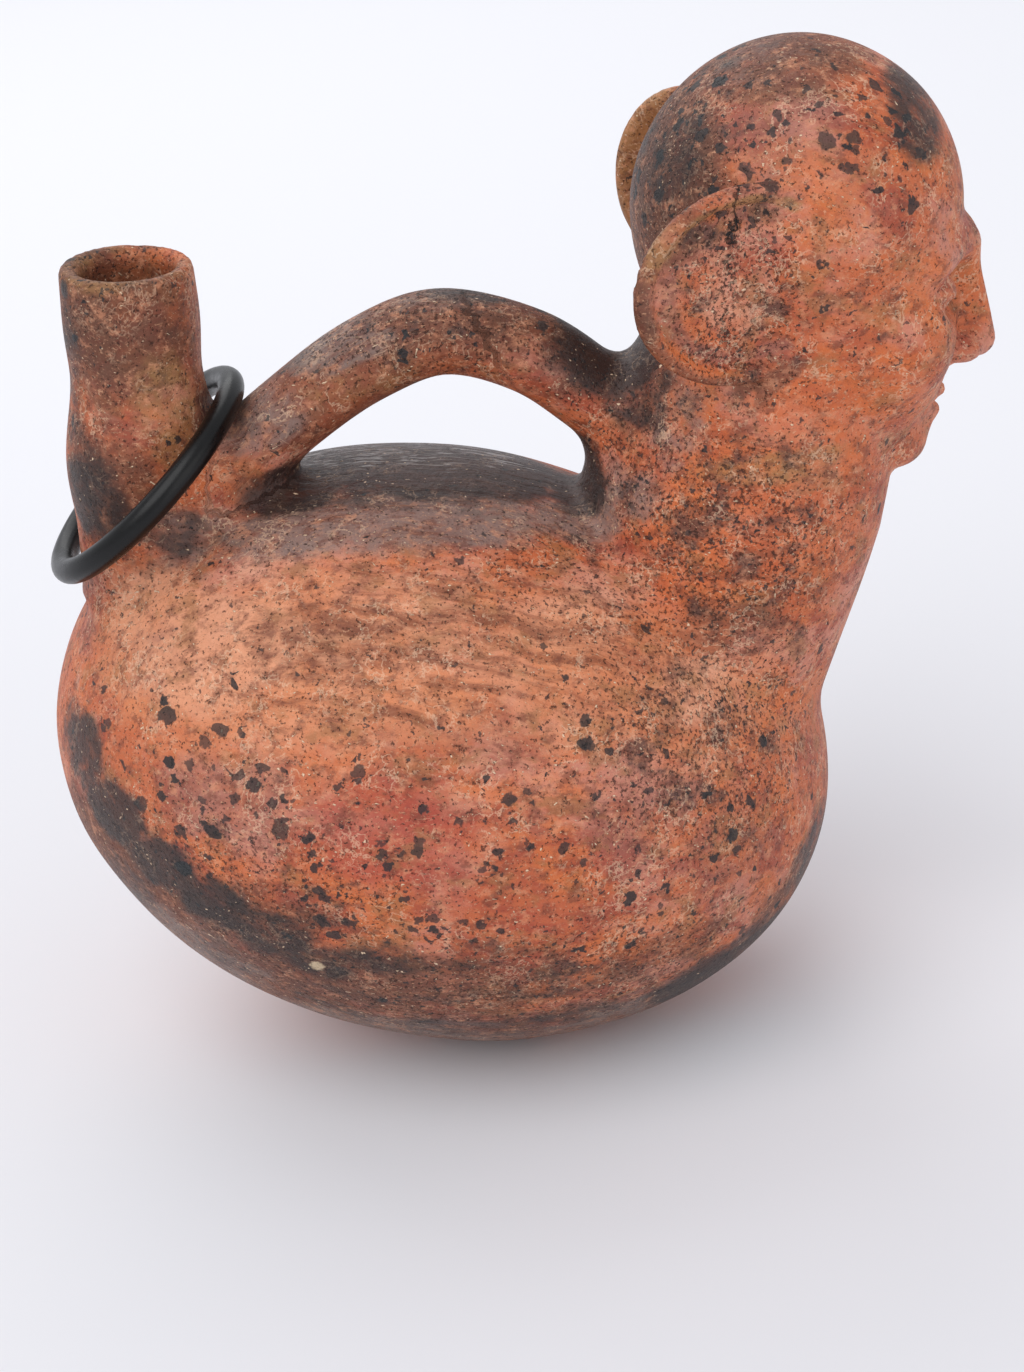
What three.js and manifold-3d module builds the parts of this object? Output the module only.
// An effigy bottle of burnished red earthenware, in millimetres. A round, hollow body carries a straight
// spout at one end and a hollow neck and head at the other, and a bridge arches from the spout's root to
// the nape. A loose rubber ring hangs round the spout.
//
// +Z is up, +X is the way the head looks and +Y is the vessel's left side, so the vessel mirrors about
// y = 0. The origin is the middle of the small flat that the body rests on.
import * as THREE from "three";
import { mergeVertices } from "three/addons/utils/BufferGeometryUtils.js";
import Module from "manifold-3d";

const degrees = Math.PI / 180;

// Body: an egg of clay that sits with its head end down.
const bodyLength = 169;
const bodyWidth = 129;
const bodyHeight = 128;
const bodyTilt = 18 * degrees;
const wall = 5.5;
const footDepth = 2.8; // how far the underside was pressed flat
const floorThickness = 6.5;

// Neck: a leaning column that the head continues.
const neckDiameter = 61;
const neckLean = 20 * degrees;
const neckStart = 0.555; // share of the body's half length, where the neck's axis crosses mid height
const headReach = 108.6; // from there to the middle of the head

// Head, crown to chin, and the ears that stand off it.
const headHeight = 89;
const headPitch = 14 * degrees;
const headWall = 6;
const earHeight = 42;
const earDepth = 24.5; // from its root to its back edge
const leftEarDepth = 17.5;
const earThickness = 5.6;
const earFlare = 24 * degrees;
const earBack = 0.185; // place of its root behind the middle of the head, in shares of the head's height
const leftEarBack = 0.235;
const leftEarLean = 14 * degrees;
const earUp = 0.003;
const leftEarUp = 0.028;

// Spout, from the shoulder to the lip.
const spoutDiameter = 27.8; // at the lip
const spoutSwell = 2.8; // how much wider its root is
const spoutBore = 19;
const spoutRise = 59.5;
const spoutLean = 3 * degrees;
const spoutStart = 0.66; // share of the body's half length
const lipRound = 2;
const bulge = 1.3; // radius added low on the spout, where the hand pressed it on
const bulgeHeight = 17; // above the shoulder
const bulgeReach = 11; // over which it fades away
const waist = 0.9; // radius drawn in half way up
const waistHeight = 36;
const waistReach = 8;

// Bridge: an arch of solid clay, a little wider than it is thick.
const bridgeThickness = 16.8;
const bridgeWidth = 20;
const bridgeRise = 40.3;

// Rubber ring that hangs round the spout.
const ringDiameter = 2.05 * spoutDiameter;
const ringThickness = 5.5;
const ringPlay = 0.75; // between it and the spout's widest part, on the high side and the low side
const ringGap = 0.35; // between it and the clay it rests on

// The main places follow from the sizes above.
const halfLength = bodyLength / 2;
const halfHeight = bodyHeight / 2;
const bodyDrop = Math.hypot(halfLength * Math.sin(bodyTilt), halfHeight * Math.cos(bodyTilt));
const bodyZ = bodyDrop - footDepth;
const lowestShift =
  ((halfLength ** 2 - halfHeight ** 2) * Math.sin(bodyTilt) * Math.cos(bodyTilt)) / bodyDrop;
const bodyCentre = new THREE.Vector3((-lowestShift * bodyZ) / bodyDrop, 0, bodyZ);
const bodyRadii = new THREE.Vector3(halfLength, bodyWidth / 2, halfHeight);

const neckFoot = bodyCentre.clone().add(new THREE.Vector3(neckStart * halfLength, 0, 0));
const headCentre = neckFoot.clone().add(
  new THREE.Vector3(Math.sin(neckLean), 0, Math.cos(neckLean)).multiplyScalar(headReach),
);

// Height of the body's top surface above a place on its middle plane.
function bodyTop(x) {
  const dx = x - bodyCentre.x;
  const s = Math.sin(bodyTilt);
  const c = Math.cos(bodyTilt);
  const a = (s / halfLength) ** 2 + (c / halfHeight) ** 2;
  const b = 2 * dx * s * c * (1 / halfHeight ** 2 - 1 / halfLength ** 2);
  const d = dx ** 2 * ((c / halfLength) ** 2 + (s / halfHeight) ** 2) - 1;
  return bodyCentre.z + (-b + Math.sqrt(Math.max(b * b - 4 * a * d, 0))) / (2 * a);
}

const spoutX = bodyCentre.x - spoutStart * halfLength;
const spoutFoot = new THREE.Vector3(spoutX, 0, bodyTop(spoutX));
const spoutAxis = new THREE.Vector3(Math.sin(spoutLean), 0, Math.cos(spoutLean));
const spoutTop = spoutFoot.clone().addScaledVector(spoutAxis, spoutRise);

// Fields: below 0 inside a form, above 0 outside it, and close to a distance near its surface.
function egg(p, centre, radii, tilt = 0) {
  const dx = p.x - centre.x;
  const dz = p.z - centre.z;
  const x = (dx * Math.cos(tilt) - dz * Math.sin(tilt)) / radii.x;
  const y = (p.y - centre.y) / radii.y;
  const z = (dx * Math.sin(tilt) + dz * Math.cos(tilt)) / radii.z;
  const k = Math.hypot(x, y, z);
  return (k * (k - 1)) / Math.hypot(x / radii.x, y / radii.y, z / radii.z);
}

function capsule(p, a, b, radiusA, radiusB) {
  const along = b.clone().sub(a);
  const t = THREE.MathUtils.clamp(p.clone().sub(a).dot(along) / along.lengthSq(), 0, 1);
  return p.distanceTo(a.clone().addScaledVector(along, t)) - THREE.MathUtils.lerp(radiusA, radiusB, t);
}

// Joins two fields with a fillet about as wide as soft.
function blend(a, b, soft) {
  const h = Math.max(soft - Math.abs(a - b), 0) / soft;
  return Math.min(a, b) - (h * h * soft) / 4;
}

// Cuts field b out of field a with a rounded edge.
function carve(a, b, soft) {
  return -blend(-a, b, soft);
}

// The head's field, in its own frame: x looks forward, y left and z up, in shares of its height, with the
// origin at the middle of the head. A calm, even face on the usual proportions: the eyes at half height,
// the nose's base a quarter height below them, and five eye widths across the face.
const eyeWidth = 0.142;
const point = (x, y, z) => new THREE.Vector3(x, y, z);
const skullCentre = point(-0.045, 0, 0.095);
const skullRadii = point(0.38, 0.36, 0.395);
function headField(p) {
  const q = point(p.x, Math.abs(p.y), p.z); // both sides are alike
  let d = egg(q, skullCentre, skullRadii);
  const jaw = egg(q, point(0.09, 0, -0.2), point(0.285, 0.28, 0.28));
  const cheek = egg(q, point(0.2, 0.16, -0.13), point(0.13, 0.12, 0.12));
  const brow = capsule(q, point(0.335, 0.03, 0.085), point(0.25, 0.225, 0.07), 0.042, 0.02);
  d = blend(blend(blend(d, jaw, 0.14), cheek, 0.08), brow, 0.06);
  const socket = egg(q, point(0.395, eyeWidth, -0.008), point(0.115, 0.105, 0.066));
  const lid = egg(q, point(0.262, eyeWidth, -0.008), point(0.066, 0.078, 0.05));
  d = blend(carve(d, socket, 0.035), lid, 0.01);
  const nose = capsule(q, point(0.355, 0, 0.06), point(0.425, 0, -0.15), 0.032, 0.052);
  const nostril = egg(q, point(0.385, 0.054, -0.168), point(0.05, 0.036, 0.036));
  d = blend(blend(d, nose, 0.06), nostril, 0.03);
  const upperLip = capsule(q, point(0.366, 0, -0.286), point(0.31, 0.1, -0.302), 0.024, 0.011);
  const lowerLip = capsule(q, point(0.358, 0, -0.338), point(0.31, 0.085, -0.316), 0.027, 0.012);
  d = blend(blend(d, upperLip, 0.02), lowerLip, 0.016);
  const belowLip = capsule(q, point(0.395, 0, -0.378), point(0.355, 0.07, -0.37), 0.016, 0.012);
  const chin = egg(q, point(0.255, 0, -0.41), point(0.11, 0.13, 0.08));
  d = blend(carve(d, belowLip, 0.03), chin, 0.07);
  return d;
}

// One closed form round a centre: a sphere's points pushed out along rays to where the field is 0. The
// sphere's pole turns from +Z towards +X by turn, and crowd above 0 draws its rings towards that pole.
function shellOf(field, centre, reach, columns, rows, turn = 0, crowd = 0) {
  const geometry = new THREE.SphereGeometry(1, columns, rows);
  const uv = geometry.getAttribute("uv");
  const position = geometry.getAttribute("position");
  for (let i = 0; i < position.count; i++) {
    const share = 1 - uv.getY(i);
    const around = 2 * Math.PI * (uv.getX(i) % 1);
    const polar = Math.PI * (share * (1 - crowd) + share ** 3 * crowd);
    const flat = Math.sin(polar);
    const ray = point(Math.cos(around) * flat, Math.sin(around) * flat, Math.cos(polar));
    ray.applyAxisAngle(point(0, 1, 0), turn);
    let near = 0;
    let far = reach;
    for (let step = 0; step < 30; step++) {
      const middle = (near + far) / 2;
      if (field(centre.clone().addScaledVector(ray, middle)) < 0) near = middle;
      else far = middle;
    }
    position.setXYZ(i, ...centre.clone().addScaledVector(ray, near).toArray());
  }
  return geometry;
}

// A turned form bent along a path in the plane y = 0. radiusAt gives its radius for a share of the path,
// and widen its width across that plane for each unit of thickness.
function bentTurning(path, radiusAt, stations, sides, widen = 1) {
  const profile = [new THREE.Vector2(0, 0)];
  for (const share of stations) profile.push(new THREE.Vector2(radiusAt(share), share));
  profile.push(new THREE.Vector2(0, 1));
  const geometry = new THREE.LatheGeometry(profile, sides);
  const position = geometry.getAttribute("position");
  for (let i = 0; i < position.count; i++) {
    const share = THREE.MathUtils.clamp(position.getY(i), 0, 1);
    const tangent = path.getTangentAt(share);
    const place = path.getPointAt(share);
    const out = position.getX(i);
    place.add(point(-tangent.z * out, position.getZ(i) * widen, tangent.x * out));
    position.setXYZ(i, place.x, place.y, place.z);
  }
  return geometry;
}

const evenly = (count) => Array.from({ length: count + 1 }, (_, i) => i / count);

const wasm = await Module();
wasm.setup();

// A geometry as a solid for joining and cutting.
function solid(geometry) {
  const bare = geometry.clone();
  bare.deleteAttribute("normal");
  bare.deleteAttribute("uv");
  const merged = mergeVertices(bare, 1e-4);
  return new wasm.Manifold(
    new wasm.Mesh({
      numProp: 3,
      vertProperties: new Float32Array(merged.getAttribute("position").array),
      triVerts: new Uint32Array(merged.index.array),
    }),
  );
}

function geometryOf(made) {
  const mesh = made.getMesh();
  const geometry = new THREE.BufferGeometry();
  geometry.setAttribute("position", new THREE.BufferAttribute(new Float32Array(mesh.vertProperties), 3));
  geometry.setIndex(new THREE.BufferAttribute(new Uint32Array(mesh.triVerts), 1));
  geometry.computeVertexNormals();
  return geometry;
}

// Body
function bodyForm(inset, columns, rows) {
  const radii = bodyRadii.clone().subScalar(inset);
  return shellOf((p) => egg(p, bodyCentre, radii, bodyTilt), bodyCentre, halfLength * 1.1, columns, rows);
}

// Neck, from inside the body to inside the head. It swells a little at mid height.
const neckPath = new THREE.LineCurve3(neckFoot, neckFoot.clone().lerp(headCentre, 0.88));
const neckSwell = (share) => 0.985 + 0.06 * Math.sin(Math.PI * share) - 0.3 * Math.max(share - 0.6, 0);
function neckForm(inset, sides) {
  return bentTurning(neckPath, (share) => (neckSwell(share) * neckDiameter) / 2 - inset, evenly(6), sides);
}

// Head. Its points crowd towards the face.
const facing = 114 * degrees;
const placeHead = (geometry) =>
  geometry
    .scale(headHeight, headHeight, headHeight)
    .rotateY(headPitch)
    .translate(...headCentre.toArray());
const headForm = () => placeHead(shellOf(headField, skullCentre, 0.8, 48, 34, facing, 0.5));
function headHollow() {
  const radii = skullRadii.clone().subScalar(headWall / headHeight);
  return placeHead(shellOf((p) => egg(p, skullCentre, radii), skullCentre, 0.8, 20, 12));
}

// Ear: an upright flap rooted in the side of the head, its back edge swung out, with a shallow cup in its
// outer face.
function earForm(depth, back, up, lean) {
  const disc = new THREE.SphereGeometry(1, 18, 12).scale(depth, earThickness / 2, earHeight / 2);
  const cup = new THREE.SphereGeometry(1, 14, 8)
    .scale(depth * 0.83, earThickness * 0.7, earHeight * 0.41)
    .translate(0, -earThickness * 0.75, 0);
  const flap = geometryOf(solid(disc).subtract(solid(cup)));
  flap.rotateZ(earFlare).rotateY(-lean);
  flap.translate(-back * headHeight, -0.93 * skullRadii.y * headHeight, up * headHeight);
  return flap.rotateY(headPitch).translate(...headCentre.toArray());
}

// The same form on the other side of the plane y = 0.
function mirrored(geometry) {
  const copy = geometry.clone().scale(1, -1, 1);
  const index = copy.index;
  for (let i = 0; i < index.count; i += 3) {
    const first = index.getX(i);
    index.setX(i, index.getX(i + 1));
    index.setX(i + 1, first);
  }
  return copy;
}

// Spout: flared at its root, with a rounded lip.
const spoutRoot = spoutFoot.clone().addScaledVector(spoutAxis, -wall * 2);
const spoutPath = new THREE.LineCurve3(spoutRoot, spoutTop);
const spoutLength = spoutRoot.distanceTo(spoutTop);
function spoutRadius(share) {
  const fromTop = (1 - share) * spoutLength;
  const lip = fromTop < lipRound ? lipRound - Math.sqrt(lipRound ** 2 - (lipRound - fromTop) ** 2) : 0;
  const height = spoutRise - fromTop;
  const fuller = bulge * Math.exp(-(((height - bulgeHeight) / bulgeReach) ** 2));
  const drawnIn = waist * Math.exp(-(((height - waistHeight) / waistReach) ** 2));
  return (spoutDiameter + spoutSwell * Math.sin((1 - share) * 1.6)) / 2 + fuller - drawnIn - lip;
}
function spoutForm() {
  const lipSteps = [1, 0.6, 0.3, 0.1, 0].map((s) => 1 - (s * lipRound) / spoutLength);
  return bentTurning(spoutPath, spoutRadius, [...evenly(9).slice(0, -1), ...lipSteps], 28);
}
function spoutHollow() {
  const top = spoutTop.clone().addScaledVector(spoutAxis, wall);
  const path = new THREE.LineCurve3(spoutFoot.clone().addScaledVector(spoutAxis, -4 * wall), top);
  return bentTurning(path, () => spoutBore / 2, [0, 1], 20);
}

// Bridge: from the spout's root, over the arch, into the nape.
const bridgeFrom = spoutFoot.clone().add(point(0, 0, -2));
const bridgeTo = neckPath.getPointAt(0.58);
const bridgeShares = [
  [0, 0],
  [0.26, 0.63],
  [0.4, 0.89],
  [0.53, 1],
  [0.67, 0.86],
  [0.78, 0.59],
  [1, -0.1],
];
const bridgePoint = ([along, up]) =>
  bridgeFrom.clone().lerp(bridgeTo, along).add(point(0, 0, up * bridgeRise));
const bridgePath = new THREE.CatmullRomCurve3(bridgeShares.map(bridgePoint));
const bridgeSwell = (share) =>
  0.92 + 0.14 * Math.sin(Math.PI * share) + 0.45 * (1 - share) ** 8 + 0.55 * share ** 8;
const bridgeRadius = (share) => (bridgeThickness / 2) * bridgeSwell(share);
function bridgeForm() {
  return bentTurning(bridgePath, bridgeRadius, evenly(16), 16, bridgeWidth / bridgeThickness);
}

const clay = new THREE.MeshStandardMaterial({ color: 0xb4583a, roughness: 0.62, metalness: 0 });
const rubber = new THREE.MeshStandardMaterial({ color: 0x17191b, roughness: 0.42, metalness: 0 });

function vesselMesh() {
  const outside = [
    bodyForm(0, 38, 22),
    neckForm(0, 32),
    headForm(),
    earForm(earDepth, earBack, earUp, 0),
    mirrored(earForm(leftEarDepth, leftEarBack, leftEarUp, leftEarLean)),
    spoutForm(),
    bridgeForm(),
  ].map(solid);
  const inside = [bodyForm(wall, 22, 14), neckForm(wall, 18), headHollow(), spoutHollow()].map(solid);
  const below = (top) => solid(new THREE.BoxGeometry(400, 400, 100).translate(0, 0, top - 50));
  const form = outside.reduce((a, b) => a.add(b)).subtract(below(0));
  const hollow = inside.reduce((a, b) => a.add(b)).subtract(below(floorThickness));
  const mesh = new THREE.Mesh(geometryOf(form.subtract(hollow)), clay);
  mesh.name = "vessel";
  return mesh;
}

// Ring: it leans on the bridge's root on one side and drops to the shoulder on the other. Its height is
// the lowest at which it clears the clay.
function clayField(p) {
  let d = egg(p, bodyCentre, bodyRadii, bodyTilt);
  for (const [path, radiusAt] of [
    [spoutPath, spoutRadius],
    [bridgePath, bridgeRadius],
  ]) {
    for (const share of evenly(60)) d = Math.min(d, p.distanceTo(path.getPointAt(share)) - radiusAt(share));
  }
  return d;
}
function ringMesh() {
  const radius = (ringDiameter - ringThickness) / 2;
  const inside = (spoutDiameter + spoutSwell + ringThickness) / 2 + ringPlay;
  const tilt = Math.acos(Math.min(inside / radius, 1)) - spoutLean;
  const across = point(Math.cos(tilt), 0, Math.sin(tilt));
  const centreAt = (up) => spoutFoot.clone().addScaledVector(spoutAxis, up);
  const clear = (up) =>
    evenly(36).every((turn) => {
      const angle = 2 * Math.PI * turn;
      const p = centreAt(up).addScaledVector(across, radius * Math.cos(angle));
      p.y += radius * Math.sin(angle);
      return clayField(p) > ringThickness / 2 + ringGap;
    });
  let up = 0;
  while (!clear(up) && up < spoutRise) up += 0.1;
  const mesh = new THREE.Mesh(new THREE.TorusGeometry(radius, ringThickness / 2, 10, 36), rubber);
  mesh.name = "rubber_ring";
  mesh.rotation.y = -tilt;
  mesh.position.copy(centreAt(up));
  return mesh;
}

const vessel = new THREE.Group();
vessel.add(vesselMesh(), ringMesh());

export default vessel;
